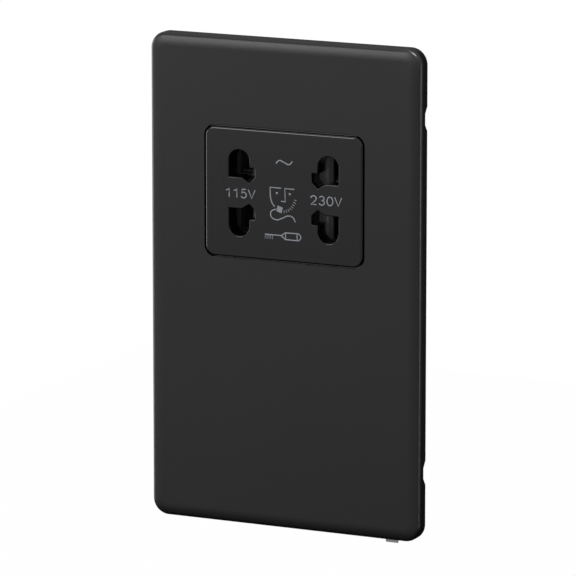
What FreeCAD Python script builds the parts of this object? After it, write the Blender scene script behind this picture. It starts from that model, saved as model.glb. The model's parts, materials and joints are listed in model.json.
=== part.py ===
"""Two-gang dual-voltage shaver socket with a clip-on metal plate.

Frame: X to the right, Y into the wall, Z up. The wall is the plane Y = 0, and the
origin is midway between the two fixing holes. Lengths are in millimetres.
"""
import FreeCAD, Part
import os
from FreeCAD import Vector

# Cover plate
plate_width = 88.0
plate_height = 147.0
plate_projection = 5.2
plate_wall = 1.2
plate_corner_r = 5.0
crown_width = 4.0
crown_drop = 0.6
crown_middle_drop = 0.15
rim_edge_r = 0.5
inner_chamfer = 0.5
rim_clearance = 0.1
lever_notch_inset = 20.7
lever_notch_flat = 3.3
lever_notch_length = 7.3
lever_notch_depth = 1.5

# Wall gasket
gasket_thickness = 0.6
gasket_inset = 1.5
gasket_body_clearance = 0.5
gasket_corner_r = 3.0
tab_inset = 10.8
tab_width = 3.8
tab_reach = 1.7
tab_slant = 1.1

# Socket insert
insert_width = 51.0
insert_height = 38.9
insert_corner_r = 3.0
insert_top_inset = 46.35
insert_proud = 0.4
insert_edge = 0.35
aperture_clearance = 0.3
flange_lap = 2.5
flange_clearance = 0.3
block_inset = 0.6
block_side_wall = 2.75
block_core_half_height = 12.0
block_face_wall = 2.4

# Pin apertures, measured from each column's centre and from the insert's middle
column_inset = 11.0
dome_r = 3.4
dome_v = 9.6
inner_flat_v = 4.65
blade_notch_reach = 5.35
blade_notch_top_v = 7.7
blade_notch_low_v = 5.0
wedge_tip_u = 3.35
wedge_tip_v = 3.15
wedge_start_u = 0.9
aperture_corner_r = 0.35

# Mounting frame
frame_thickness = 2.0
frame_clearance = 0.4
frame_rib = 1.4
frame_rib_height = 1.1
frame_window_clearance = 0.3
fixing_inset = 13.2
fixing_hole_r = 2.05
fixing_collar_r = 4.6
clip_bead = 0.33
clip_bead_length = 9.0
clip_bead_inset_z = 45.5
clip_bead_inset_x = 20.0
stiffener_inset = 5.1
stiffener_z = 36.0

# Rear housing
housing_end_gap = 7.3
housing_wall = 1.8
housing_corner_r = 3.0
rear_chamfer = 1.2
upper_depth = 24.0
lower_depth = 34.0
lower_step = 4.0
step_drop = 4.5
corner_post_r = 2.1
corner_post_inset = 3.2
corner_post_depth = 12.0
vent_width = 1.6
vent_length = 14.0
vent_pitch = 4.0
vent_count = 7
vent_row_gap = 3.0
housing_screw_r = 1.1
housing_screw_length = 11.0
housing_screw_head_r = 2.0
housing_screw_head = 1.1
screw_clearance = 0.05

# Interlock slide
slide_thickness = 2.0
slide_travel = 4.0
slide_side_clearance = 0.2
slide_face_clearance = 0.25
slide_end_clearance = 0.6
slide_end_inset = 0.3
slide_half_height = 14.6
window_low_v = 3.3
window_high_v = 13.5
window_margin = 0.1
window_bevel = 1.1
spring_slot_half = 8.5
spring_slot_height = 2.4
spring_post_half = 1.0
centring_spring_r = 0.72
centring_wire_r = 0.17
centring_turns = 3

# Contact carrier
carrier_depth = 11.5
carrier_base = 1.5
hook_inset = 3.4
hook_width = 5.0
hook_thickness = 1.4
hook_reach = 2.0
hook_toe = 0.8
carrier_side_wall = 3.0
carrier_core_wall = 2.5

# Pin contacts
contact_thickness = 0.5
contact_width = 8.0
contact_mid_v = 8.8
contact_half_gap = 3.7
contact_pinch_half = 1.2
contact_mouth_inset = 1.2
contact_pinch_depth = 4.2
contact_knee_depth = 7.6
contact_clearance = 0.35
tail_width = 3.0
tail_length = 5.6

# Actuator behind the contacts
post_half = 1.7
post_clearance = 0.08
post_reach = 4.8
bar_thickness = 2.0
bar_half_width = 2.5
bar_gap = 1.5
actuator_travel = 1.5
return_spring_r = 2.2
return_wire_r = 0.25
return_turns = 3
return_peg_half = 1.1
return_peg_length = 1.6

# Microswitch
switch_rise = 12.45
switch_length = 20.0
switch_height = 6.5
switch_depth = 10.0
switch_button_r = 1.2
switch_button_length = 2.0
switch_button_gap = 0.3
switch_margin = 0.2
switch_button_hold = 0.75
switch_pad_r = 1.6
switch_tab_pitch = 7.0
switch_tab_width = 2.8
switch_tab_thickness = 0.5
switch_tab_length = 4.0
cradle_wall = 1.4
cradle_clearance = 0.2

# Transformer
core_side_gap = 1.2
core_leg = 16.0
core_yoke = 8.0
core_window = 24.0
core_stack = 18.0
core_centre_y = 16.3
core_floor_clearance = 0.2
bobbin_wall = 1.0
bobbin_clearance = 0.2
bobbin_flange = 1.0
bobbin_overhang = 6.4
winding_inset = 0.9
winding_corner_r = 2.5
strap_thickness = 0.8
strap_width = 15.0
strap_foot = 7.0
strap_lug = 10.0
strap_lip = 3.0
strap_screw_r = 1.2
strap_screw_head_r = 2.4
strap_screw_head = 1.2
core_post_width = 4.0
core_post_height = 8.0

# Overload cut-out
cutout_length = 16.0
cutout_depth = 9.0
cutout_height = 4.0
cutout_x = 10.0
cutout_tab_length = 4.0

# Terminals
block_end_gap = 8.7
block_height = 13.0
block_depth = 11.5
block_rise = 7.4
block_ear = 6.5
block_ear_depth = 3.0
block_wall = 1.6
terminal_pitch = 12.5
terminal_width = 7.0
terminal_height = 8.6
terminal_depth = 8.4
terminal_clearance = 0.1
terminal_bore_r = 1.9
terminal_wall = 1.3
terminal_screw_r = 1.5
terminal_slot = 0.7
terminal_slot_depth = 0.9
entry_r = 2.3
divider_groove = 1.4
divider_depth = 3.2

# Earth leaf on the frame
earth_leaf_thickness = 0.3
earth_leaf_width = 6.0
earth_leaf_length = 18.0
earth_leaf_inset = 37.5
earth_rivet_r = 1.4
earth_rivet_head_r = 2.3
earth_rivet_head = 0.7
earth_contact_gap = 0.1

# Places that follow from the sizes above
rim_y = -(gasket_thickness + rim_clearance)
face_y = -plate_projection
crown_y = face_y + crown_drop
insert_y = face_y - insert_proud
frame_rear_y = -gasket_thickness
frame_front_y = frame_rear_y - frame_thickness
plate_inner_y = face_y + plate_wall
flange_front_y = plate_inner_y + flange_clearance
insert_centre_z = plate_height / 2 - insert_top_inset
fixing_z = plate_height / 2 - fixing_inset
lever_notch_z = plate_height / 2 - lever_notch_inset
clip_bead_z = plate_height / 2 - clip_bead_inset_z
clip_bead_x = plate_width / 2 - clip_bead_inset_x
tab_centre_x = plate_width / 2 - tab_inset
earth_leaf_z = earth_leaf_inset - plate_height / 2
column_x = insert_width / 2 - column_inset
block_half_width = insert_width / 2 - block_inset
block_half_height = insert_height / 2 - block_inset
block_core_half_width = column_x - blade_notch_reach - block_side_wall
hook_x = block_half_width - hook_width / 2 - hook_inset
slide_y = slide_face_clearance
carrier_y = slide_y + slide_thickness + slide_face_clearance
carrier_rear_y = carrier_y + carrier_depth
carrier_floor_y = carrier_rear_y - carrier_base
slide_half_length = block_half_width - slide_end_inset
housing_inner_half = slide_half_length + slide_travel + slide_end_clearance
housing_half_width = housing_inner_half + housing_wall
housing_half_height = fixing_z - housing_end_gap
housing_inner_top = housing_half_height - housing_wall
lower_half_width = housing_half_width - lower_step
lower_floor_y = lower_depth - housing_wall
upper_floor_y = upper_depth - housing_wall
corner_post_x = housing_inner_half - corner_post_r
corner_post_z = housing_inner_top - corner_post_inset
stiffener_x = corner_post_x - stiffener_inset
contact_x = column_x - (blade_notch_reach - dome_r) / 2
carrier_core_half_width = contact_x - contact_width / 2 - contact_clearance - carrier_side_wall
window_x = contact_x + slide_travel
window_half = (dome_r + blade_notch_reach) / 2 + window_margin
bar_y = carrier_rear_y + bar_gap
bar_rear_y = bar_y + bar_thickness
core_width = 2 * (lower_half_width - housing_wall - core_side_gap)
core_height = core_window + 2 * core_yoke
core_low_z = -housing_inner_top + strap_thickness + core_floor_clearance
core_top_z = core_low_z + core_height
core_front_y = core_centre_y - core_stack / 2
core_rear_y = core_centre_y + core_stack / 2
window_width = (core_width - 2 * core_yoke - core_leg) / 2
switch_z = core_top_z + switch_rise
switch_front_y = bar_rear_y + switch_button_length + switch_button_gap + actuator_travel + switch_margin
switch_rear_y = switch_front_y + switch_depth
button_front_y = switch_front_y - switch_button_length + switch_button_hold
pad_length = button_front_y - switch_button_gap - bar_rear_y
terminal_y = upper_depth + block_depth - terminal_depth - block_wall
bore_y = terminal_y + terminal_bore_r + terminal_wall
block_length = 2 * (housing_inner_half - block_end_gap)
block_centre_z = insert_centre_z + block_rise
step_z = block_centre_z - block_height / 2 - step_drop
hook_leg_x = block_length / 2 + block_ear / 2


def box(x0, x1, y0, y1, z0, z1):
    """A box between two corners."""
    return Part.makeBox(x1 - x0, y1 - y0, z1 - z0, Vector(x0, y0, z0))


def centred_box(half_x, y0, y1, half_z, centre_z=0.0, centre_x=0.0):
    """A box centred across X and Z."""
    return box(centre_x - half_x, centre_x + half_x, y0, y1, centre_z - half_z, centre_z + half_z)


def cylinder(radius, start, direction, length):
    """A cylinder from a start point along a direction."""
    return Part.makeCylinder(radius, length, Vector(*start), Vector(*direction))


def along_y(radius, x, z, y0, y1):
    """A cylinder along Y between two depths."""
    return cylinder(radius, (x, y0, z), (0, 1, 0), y1 - y0)


def slab(half_x, half_z, corner_r, y0, y1, centre_z=0.0):
    """A rounded rectangle in XZ, extruded along Y."""
    block = centred_box(half_x, y0, y1, half_z, centre_z)
    corners = [edge for edge in block.Edges if abs(edge.tangentAt(edge.FirstParameter).y) > 0.99]
    return block.makeFillet(corner_r, corners)


def rim_outline(inset, y):
    """The plate's outline in the plane of one depth, drawn in by an inset."""
    half_x = plate_width / 2 - inset
    half_z = plate_height / 2 - inset
    sheet = slab(half_x, half_z, plate_corner_r - inset, y, y + 1)
    return Part.Wire(Part.__sortEdges__(edges_at_depth(sheet, y)))


def edges_at_depth(shape, y):
    """The edges of a shape that lie in one plane of constant Y."""
    return [edge for edge in shape.Edges
            if abs(edge.BoundBox.YMin - y) < 1e-4 and abs(edge.BoundBox.YMax - y) < 1e-4]


def prism_x(points, x0, x1):
    """A polygon given as (y, z) points, extruded along X."""
    corners = [Vector(x0, y, z) for y, z in points]
    return Part.Face(Part.makePolygon(corners + corners[:1])).extrude(Vector(x1 - x0, 0, 0))


def prism_y(points, y0, y1):
    """A polygon given as (x, z) points, extruded along Y."""
    corners = [Vector(x, y0, z) for x, z in points]
    return Part.Face(Part.makePolygon(corners + corners[:1])).extrude(Vector(0, y1 - y0, 0))


def bent_strip(points, thickness, x0, width):
    """A strip of sheet that follows a line of (y, z) points, with its width along X."""
    line = Part.makePolygon([Vector(x0, y, z) for y, z in points])
    outline = line.makeOffset2D(thickness / 2, 2, False, False)
    return Part.Face(outline).extrude(Vector(width, 0, 0))


def coil(radius, wire_r, turns, length, start, turn_axis, turn_angle):
    """A compression spring of square wire, made along Z and then turned and moved."""
    pitch = (length - 2 * wire_r) / turns
    helix = Part.makeHelix(pitch, pitch * turns, radius)
    corners = [Vector(radius + x, 0, z) for x, z in ((-wire_r, 0), (0, -wire_r), (wire_r, 0), (0, wire_r))]
    section = Part.makePolygon(corners + corners[:1])
    spring = Part.Wire(helix.Edges).makePipeShell([section], True, True)
    spring.translate(Vector(0, 0, wire_r))
    spring.rotate(Vector(0, 0, 0), Vector(*turn_axis), turn_angle)
    spring.translate(Vector(*start))
    return spring


def pan_screw(x, z, head_y, toward, shank_r, length, head_r, head):
    """A pan-head screw along Y, with its head on the side away from its tip."""
    shank = cylinder(shank_r, (x, head_y, z), (0, toward, 0), length)
    return shank.fuse(cylinder(head_r, (x, head_y, z), (0, -toward, 0), head))


def front_plate():
    """The metal cover plate, drawn as a shallow tray whose face falls away near its rim."""
    outer = slab(plate_width / 2, plate_height / 2, plate_corner_r, crown_y, rim_y)
    crown = Part.makeLoft([rim_outline(0, crown_y),
                           rim_outline(crown_width / 2, face_y + crown_middle_drop),
                           rim_outline(crown_width, face_y)], True, True)
    outer = outer.fuse(crown)
    outer = outer.makeFillet(rim_edge_r, edges_at_depth(outer, crown_y))
    inner = slab(plate_width / 2 - plate_wall, plate_height / 2 - plate_wall,
                 plate_corner_r - plate_wall, plate_inner_y, rim_y + plate_wall)
    inner = inner.makeChamfer(inner_chamfer, edges_at_depth(inner, plate_inner_y))
    hole = slab(insert_width / 2 + aperture_clearance, insert_height / 2 + aperture_clearance,
                insert_corner_r + aperture_clearance, face_y - 1, plate_inner_y + 1, insert_centre_z)
    plate = outer.cut(inner).cut(hole)
    for z in (-lever_notch_z, lever_notch_z):
        outline = [(rim_y + 1, z - lever_notch_length / 2), (rim_y, z - lever_notch_length / 2),
                   (rim_y - lever_notch_depth, z - lever_notch_flat / 2),
                   (rim_y - lever_notch_depth, z + lever_notch_flat / 2),
                   (rim_y, z + lever_notch_length / 2), (rim_y + 1, z + lever_notch_length / 2)]
        plate = plate.cut(prism_x(outline, -plate_width / 2 - 1, plate_width / 2 + 1))
    return plate


def wall_gasket():
    """The thin seal between frame and wall, with its pull tab below the plate."""
    ring = slab(plate_width / 2 - gasket_inset, plate_height / 2 - gasket_inset,
                gasket_corner_r, frame_rear_y, 0)
    body = slab(housing_half_width + gasket_body_clearance, housing_half_height + gasket_body_clearance,
                housing_corner_r, frame_rear_y - 1, 1)
    gasket = ring.cut(body)
    for z in (-fixing_z, fixing_z):
        gasket = gasket.cut(along_y(fixing_hole_r, 0, z, frame_rear_y - 1, 1))
    left = tab_centre_x - tab_width / 2
    right = tab_centre_x + tab_width / 2
    root_z = -plate_height / 2 + gasket_inset + 1
    end_z = -plate_height / 2 - tab_reach
    tab = prism_y([(left - tab_slant, root_z), (left, end_z), (right, end_z), (right, root_z)],
                  frame_rear_y, 0)
    return gasket.fuse(tab).removeSplitter()


def pin_aperture(side, half, y0, y1):
    """The cutter for one pin aperture: a domed slot, a blade notch and a slanted wedge."""
    def place(u, v):
        return Vector(side * (column_x - u), y0, insert_centre_z + half * v)
    dome = Part.Arc(place(-dome_r, dome_v), place(0, dome_v + dome_r), place(dome_r, dome_v))
    line = [(dome_r, dome_v), (dome_r, blade_notch_top_v), (blade_notch_reach, blade_notch_top_v),
            (blade_notch_reach, blade_notch_low_v), (wedge_tip_u, wedge_tip_v),
            (wedge_start_u, inner_flat_v), (-dome_r, inner_flat_v), (-dome_r, dome_v)]
    sides = [Part.LineSegment(place(*a), place(*b)).toShape() for a, b in zip(line, line[1:])]
    outline = Part.Wire(Part.__sortEdges__([dome.toShape()] + sides))
    cutter = Part.Face(outline).extrude(Vector(0, y1 - y0, 0))
    rounded = [place(*line[i]) for i in (2, 4, 6)]
    corners = [edge for edge in cutter.Edges
               if abs(edge.tangentAt(edge.FirstParameter).y) > 0.99
               and any(abs(edge.BoundBox.XMin - p.x) + abs(edge.BoundBox.ZMin - p.z) < 1e-3
                       for p in rounded)]
    return cutter.makeFillet(aperture_corner_r, corners)


def hook_place(side, half, clearance):
    """The space of one snap hook that holds the carrier to the insert's block."""
    x = side * hook_x
    z = insert_centre_z + half * (block_half_height - hook_thickness / 2)
    leg = box(x - hook_width / 2 - clearance, x + hook_width / 2 + clearance, -hook_reach - clearance, 1,
              z - hook_thickness / 2 - clearance, z + hook_thickness / 2 + clearance)
    return leg


def socket_face():
    """The gloss insert: visible pad, hidden flange and the block that guides the pins."""
    pad = slab(insert_width / 2, insert_height / 2, insert_corner_r, insert_y, flange_front_y,
               insert_centre_z)
    pad = pad.makeChamfer(insert_edge, edges_at_depth(pad, insert_y))
    flange = slab(insert_width / 2 + flange_lap, insert_height / 2 + flange_lap, insert_corner_r,
                  flange_front_y, frame_front_y, insert_centre_z)
    block = centred_box(block_half_width, frame_front_y, 0, block_half_height, insert_centre_z)
    for x, z in corner_posts():
        flange = flange.cut(along_y(housing_screw_head_r + flange_clearance, x, z, flange_front_y - 1,
                                    frame_front_y + 1))
    face = pad.fuse([flange, block])
    face = face.cut(centred_box(block_core_half_width, insert_y + block_face_wall, 1,
                                block_core_half_height, insert_centre_z))
    for side in (-1, 1):
        for half in (-1, 1):
            face = face.cut(hook_place(side, half, screw_clearance))
    for side in (-1, 1):
        for half in (-1, 1):
            face = face.cut(pin_aperture(side, half, insert_y - 1, 1))
    return face


def mounting_frame():
    """The moulded frame that is screwed to the wall box and carries plate, insert and housing."""
    half_x = plate_width / 2 - plate_wall - frame_clearance
    half_z = plate_height / 2 - plate_wall - frame_clearance
    corner = plate_corner_r - plate_wall - frame_clearance
    rib_y = frame_front_y - frame_rib_height
    frame = slab(half_x, half_z, corner, rib_y, frame_rear_y)
    recess = centred_box(half_x - frame_rib, rib_y - 1, frame_front_y, half_z - frame_rib)
    frame = frame.cut(recess)
    for z in (-fixing_z, fixing_z):
        frame = frame.fuse(along_y(fixing_collar_r, 0, z, rib_y, frame_front_y))
    low_z = -half_z + frame_rib
    high_z = insert_centre_z - insert_height / 2 - flange_lap - flange_clearance
    for x in (-stiffener_x, stiffener_x):
        frame = frame.fuse(box(x - frame_rib / 2, x + frame_rib / 2, rib_y, frame_front_y, low_z, high_z))
    frame = frame.fuse(box(-stiffener_x, stiffener_x, rib_y, frame_front_y,
                           high_z - stiffener_z / 2 - frame_rib, high_z - stiffener_z / 2))
    for z in (-clip_bead_z, clip_bead_z):
        for side in (-1, 1):
            bead = [(side * half_x, z - clip_bead_length / 2),
                    (side * (half_x + clip_bead), z - clip_bead_length / 2 + clip_bead),
                    (side * (half_x + clip_bead), z + clip_bead_length / 2 - clip_bead),
                    (side * half_x, z + clip_bead_length / 2)]
            frame = frame.fuse(prism_y(bead, frame_front_y - clip_bead, frame_front_y + clip_bead))
    for x in (-clip_bead_x, clip_bead_x):
        for side in (-1, 1):
            bead = [(x - clip_bead_length / 2, side * half_z),
                    (x - clip_bead_length / 2 + clip_bead, side * (half_z + clip_bead)),
                    (x + clip_bead_length / 2 - clip_bead, side * (half_z + clip_bead)),
                    (x + clip_bead_length / 2, side * half_z)]
            frame = frame.fuse(prism_y(bead, frame_front_y - clip_bead, frame_front_y + clip_bead))
    frame = frame.cut(centred_box(block_half_width + frame_window_clearance, rib_y - 1, 1,
                                  block_half_height + frame_window_clearance, insert_centre_z))
    for z in (-fixing_z, fixing_z):
        frame = frame.cut(along_y(fixing_hole_r, 0, z, rib_y - 1, 1))
    for x, z in corner_posts():
        frame = frame.cut(along_y(housing_screw_r + screw_clearance, x, z, rib_y - 1, 1))
    frame = frame.cut(along_y(earth_rivet_r + screw_clearance, 0, earth_leaf_z, rib_y - 1, 1))
    return frame.removeSplitter()


def corner_posts():
    """The places of the four screw posts of the housing."""
    return [(x, z) for x in (-corner_post_x, corner_post_x) for z in (-corner_post_z, corner_post_z)]


def rear_housing():
    """The moulded box behind the frame, less deep at the top to leave room for the terminals."""
    outer = slab(housing_half_width, housing_half_height, housing_corner_r, frame_rear_y, upper_depth)
    deep = slab(lower_half_width, (step_z + housing_half_height) / 2, housing_corner_r,
                upper_floor_y, lower_depth, (step_z - housing_half_height) / 2)
    deep = deep.makeChamfer(rear_chamfer, edges_at_depth(deep, lower_depth))
    inner = centred_box(housing_inner_half, frame_rear_y - 1, upper_floor_y, housing_inner_top)
    deep_inner = box(housing_wall - lower_half_width, lower_half_width - housing_wall, upper_floor_y - 1,
                     lower_floor_y, -housing_inner_top, step_z - housing_wall)
    housing = outer.fuse(deep).cut(inner.fuse(deep_inner))
    for x, z in corner_posts():
        housing = housing.fuse(centred_box(corner_post_r, frame_rear_y, corner_post_depth,
                                           corner_post_r, z, x))
    housing = housing.fuse(centred_box(return_peg_half, upper_floor_y - return_peg_length, upper_depth,
                                       return_peg_half, insert_centre_z))
    for x in (-1, 1):
        for z in (core_low_z, core_top_z - core_post_height):
            middle = x * (core_width / 2 - core_yoke / 2)
            housing = housing.fuse(box(middle - core_post_width / 2, middle + core_post_width / 2,
                                       core_rear_y, lower_depth, z, z + core_post_height))
    housing = housing.fuse(centred_box(switch_length / 2 + cradle_clearance + cradle_wall,
                                       switch_rear_y, lower_depth, switch_height / 2, switch_z))
    for side in (-1, 1):
        x = side * (switch_length / 2 + cradle_clearance + cradle_wall / 2)
        housing = housing.fuse(centred_box(cradle_wall / 2, switch_front_y + switch_depth / 3,
                                           lower_depth, switch_height / 2, switch_z, x))
    for x, z in corner_posts():
        housing = housing.cut(along_y(housing_screw_r + screw_clearance, x, z, frame_rear_y - 1,
                                      housing_screw_length))
    for side in (-1, 1):
        housing = housing.cut(block_hook(side, screw_clearance))
    for x in terminal_places():
        housing = housing.cut(centred_box(tail_width / 2 + contact_clearance, upper_floor_y - 1,
                                          upper_depth + 1, contact_thickness / 2 + contact_clearance,
                                          block_centre_z, x))
    for x, z in strap_screw_places():
        housing = housing.cut(along_y(strap_screw_r + screw_clearance, x, z, lower_floor_y - 1,
                                      lower_depth + 1))
    for x, z in vent_places():
        housing = housing.cut(centred_box(vent_width / 2, lower_floor_y - 1, lower_depth + 1,
                                          vent_length / 2, z, x))
    return housing.removeSplitter()


def vent_places():
    """The middles of the vent slots behind the windings, in two rows."""
    middle_z = (core_low_z + core_top_z) / 2
    offset = (vent_length + vent_row_gap) / 2
    first = -vent_pitch * (vent_count - 1) / 2
    return [(first + vent_pitch * i, z) for z in (middle_z - offset, middle_z + offset)
            for i in range(vent_count)]


def shutter_slide():
    """The interlock slide: moved aside by the pins, it opens one column and shuts the other."""
    slide = centred_box(slide_half_length, slide_y, slide_y + slide_thickness, slide_half_height,
                        insert_centre_z)
    for side in (-1, 1):
        for half in (-1, 1):
            middle_v = half * (window_low_v + window_high_v) / 2
            window = centred_box(window_half, slide_y - 1, slide_y + slide_thickness + 1,
                                 (window_high_v - window_low_v) / 2, insert_centre_z + middle_v,
                                 side * window_x)
            edge_x = side * (window_x - window_half)
            low = insert_centre_z + middle_v - (window_high_v - window_low_v) / 2
            high = insert_centre_z + middle_v + (window_high_v - window_low_v) / 2
            bevel = Part.makePolygon([Vector(edge_x + side * 0.01, slide_y - 0.01, low),
                                      Vector(edge_x - side * window_bevel, slide_y - 0.01, low),
                                      Vector(edge_x + side * 0.01, slide_y + window_bevel, low),
                                      Vector(edge_x + side * 0.01, slide_y - 0.01, low)])
            ramp = Part.Face(bevel).extrude(Vector(0, 0, high - low))
            slide = slide.cut(window).cut(ramp)
    slide = slide.cut(centred_box(spring_slot_half, slide_y - 1, slide_y + slide_thickness + 1,
                                  spring_slot_height / 2, insert_centre_z))
    return slide


def centring_spring(side):
    """One of the two springs that hold the slide in the middle."""
    length = spring_slot_half - spring_post_half - 2 * screw_clearance
    start_x = spring_post_half + screw_clearance
    middle_y = slide_y + slide_thickness / 2
    return coil(centring_spring_r, centring_wire_r, centring_turns, length,
                (side * start_x, middle_y, insert_centre_z), (0, 1, 0), side * 90)


def contact_carrier():
    """The moulding that holds the four contacts, guides the actuator and rails the slide."""
    carrier = centred_box(block_half_width, carrier_y, carrier_rear_y, block_half_height, insert_centre_z)
    rail_low = slide_half_height + slide_side_clearance
    for half in (-1, 1):
        middle = half * (rail_low + block_half_height) / 2
        carrier = carrier.fuse(centred_box(block_half_width, 0, carrier_y,
                                           (block_half_height - rail_low) / 2, insert_centre_z + middle))
    carrier = carrier.fuse(centred_box(spring_post_half, slide_y, carrier_y,
                                       spring_slot_height / 2 - slide_side_clearance, insert_centre_z))
    core_high = block_half_height - 2 * carrier_base
    for half in (-1, 1):
        middle = half * (carrier_core_wall + core_high) / 2
        carrier = carrier.cut(centred_box(carrier_core_half_width, carrier_y + carrier_core_wall,
                                          carrier_rear_y + 1, (core_high - carrier_core_wall) / 2,
                                          insert_centre_z + middle))
    pocket_half = contact_half_gap + contact_thickness / 2 + contact_clearance
    for side in (-1, 1):
        for half in (-1, 1):
            z = insert_centre_z + half * contact_mid_v
            carrier = carrier.cut(centred_box(contact_width / 2 + contact_clearance, carrier_y - 1,
                                              carrier_floor_y, pocket_half, z, side * contact_x))
            carrier = carrier.cut(centred_box(post_half + post_clearance, carrier_floor_y - 1,
                                              carrier_rear_y + 1, post_half + post_clearance,
                                              z, side * contact_x))
            tail_z = insert_centre_z + half * (contact_mid_v - contact_half_gap)
            carrier = carrier.cut(centred_box(tail_width / 2 + contact_clearance, carrier_floor_y - 1,
                                              carrier_rear_y + 1,
                                              contact_thickness / 2 + contact_clearance,
                                              tail_z, side * contact_x))
            carrier = carrier.fuse(hook_place(side, half, 0))
    return carrier.removeSplitter()


def pin_contact(side, half):
    """One sprung contact: two leaves that pinch the pin, a base and a tail."""
    z = insert_centre_z + half * contact_mid_v
    base_y = carrier_floor_y - contact_thickness / 2
    mouth_y = carrier_y + contact_mouth_inset
    pinch_y = carrier_y + contact_pinch_depth
    knee_y = carrier_y + contact_knee_depth
    line = [(mouth_y, z + contact_half_gap), (pinch_y, z + contact_pinch_half),
            (knee_y, z + contact_half_gap), (base_y, z + contact_half_gap),
            (base_y, z - contact_half_gap), (knee_y, z - contact_half_gap),
            (pinch_y, z - contact_pinch_half), (mouth_y, z - contact_half_gap)]
    contact = bent_strip(line, contact_thickness, side * contact_x - contact_width / 2, contact_width)
    contact = contact.cut(centred_box(contact_width, mouth_y - 1, mouth_y, contact_width, z,
                                      side * contact_x))
    tail_z = z - half * contact_half_gap
    tail = centred_box(tail_width / 2, base_y, base_y + tail_length, contact_thickness / 2, tail_z,
                       side * contact_x)
    contact = contact.fuse(tail)
    hole = centred_box(post_half + contact_clearance, base_y - 1, base_y + 1,
                       post_half + contact_clearance, z, side * contact_x)
    return contact.cut(hole).removeSplitter()


def actuator_bar():
    """The bar that the pins push back, with four guide posts and a pad for the switch."""
    reach_v = contact_mid_v + bar_half_width
    bar = centred_box(bar_half_width, bar_y, bar_rear_y, reach_v, insert_centre_z)
    bar = bar.fuse(box(-bar_half_width, bar_half_width, bar_y, bar_rear_y,
                       switch_z - bar_half_width, insert_centre_z))
    for half in (-1, 1):
        z = insert_centre_z + half * contact_mid_v
        bar = bar.fuse(centred_box(contact_x + bar_half_width, bar_y, bar_rear_y, bar_half_width, z))
        for side in (-1, 1):
            post = centred_box(post_half, bar_y - post_reach, bar_y, post_half, z, side * contact_x)
            bar = bar.fuse(post.makeChamfer(post_half / 3, edges_at_depth(post, bar_y - post_reach)))
    bar = bar.fuse(along_y(switch_pad_r, 0, switch_z, bar_rear_y, bar_rear_y + pad_length))
    return bar.removeSplitter()


def actuator_spring():
    """The return spring between the bar and the housing."""
    length = upper_floor_y - bar_rear_y - 2 * screw_clearance
    return coil(return_spring_r, return_wire_r, return_turns, length,
                (0, bar_rear_y + screw_clearance, insert_centre_z), (1, 0, 0), -90)


def switch_button():
    """The button of the microswitch."""
    button = along_y(switch_button_r, 0, switch_z, button_front_y, button_front_y + switch_button_length)
    return button.makeChamfer(switch_button_r / 4, edges_at_depth(button, button_front_y))


def switch_body():
    """The microswitch case, in two halves that meet at a parting groove."""
    body = centred_box(switch_length / 2, switch_front_y, switch_rear_y, switch_height / 2, switch_z)
    bore_end = button_front_y + switch_button_length + actuator_travel + switch_button_gap
    body = body.cut(along_y(switch_button_r + post_clearance, 0, switch_z, switch_front_y - 1, bore_end))
    upright = [edge for edge in body.Edges
               if abs(edge.tangentAt(edge.FirstParameter).z) > 0.99 and edge.Length > switch_height - 0.1]
    return body.makeFillet(0.6, upright)


def switch_tabs():
    """The three connection tabs under the microswitch."""
    y = switch_rear_y - switch_depth / 3
    low_z = switch_z - switch_height / 2 - switch_tab_length
    return Part.makeCompound([
        box(x - switch_tab_width / 2, x + switch_tab_width / 2, y - switch_tab_thickness / 2,
            y + switch_tab_thickness / 2, low_z, low_z + switch_tab_length)
        for x in (-switch_tab_pitch, 0, switch_tab_pitch)])


def core_e():
    """The E stack of the transformer core, open upwards."""
    low_z = core_low_z
    top_z = core_top_z - core_yoke
    stack = box(-core_width / 2, core_width / 2, core_front_y, core_rear_y, low_z, top_z)
    for side in (-1, 1):
        middle = side * (core_leg / 2 + window_width / 2)
        stack = stack.cut(box(middle - window_width / 2, middle + window_width / 2, core_front_y - 1,
                              core_rear_y + 1, low_z + core_yoke, top_z + 1))
    return stack


def core_i():
    """The I stack that closes the core."""
    return box(-core_width / 2, core_width / 2, core_front_y, core_rear_y,
               core_top_z - core_yoke, core_top_z)


def bobbin():
    """The split bobbin: a tube on the centre leg with three flanges."""
    low_z = core_low_z + core_yoke + bobbin_clearance
    high_z = core_top_z - core_yoke - bobbin_clearance
    hole_x = core_leg / 2 + bobbin_clearance
    hole_y = core_stack / 2 + bobbin_clearance
    flange_x = core_leg / 2 + window_width - bobbin_clearance
    flange_y = core_stack / 2 + bobbin_overhang
    spool = box(-hole_x - bobbin_wall, hole_x + bobbin_wall, core_centre_y - hole_y - bobbin_wall,
                core_centre_y + hole_y + bobbin_wall, low_z, high_z)
    middle_z = (low_z + high_z - bobbin_flange) / 2
    for z in (low_z, middle_z, high_z - bobbin_flange):
        spool = spool.fuse(box(-flange_x, flange_x, core_centre_y - flange_y, core_centre_y + flange_y,
                               z, z + bobbin_flange))
    return spool.cut(box(-hole_x, hole_x, core_centre_y - hole_y, core_centre_y + hole_y,
                         low_z - 1, high_z + 1)).removeSplitter()


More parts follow.
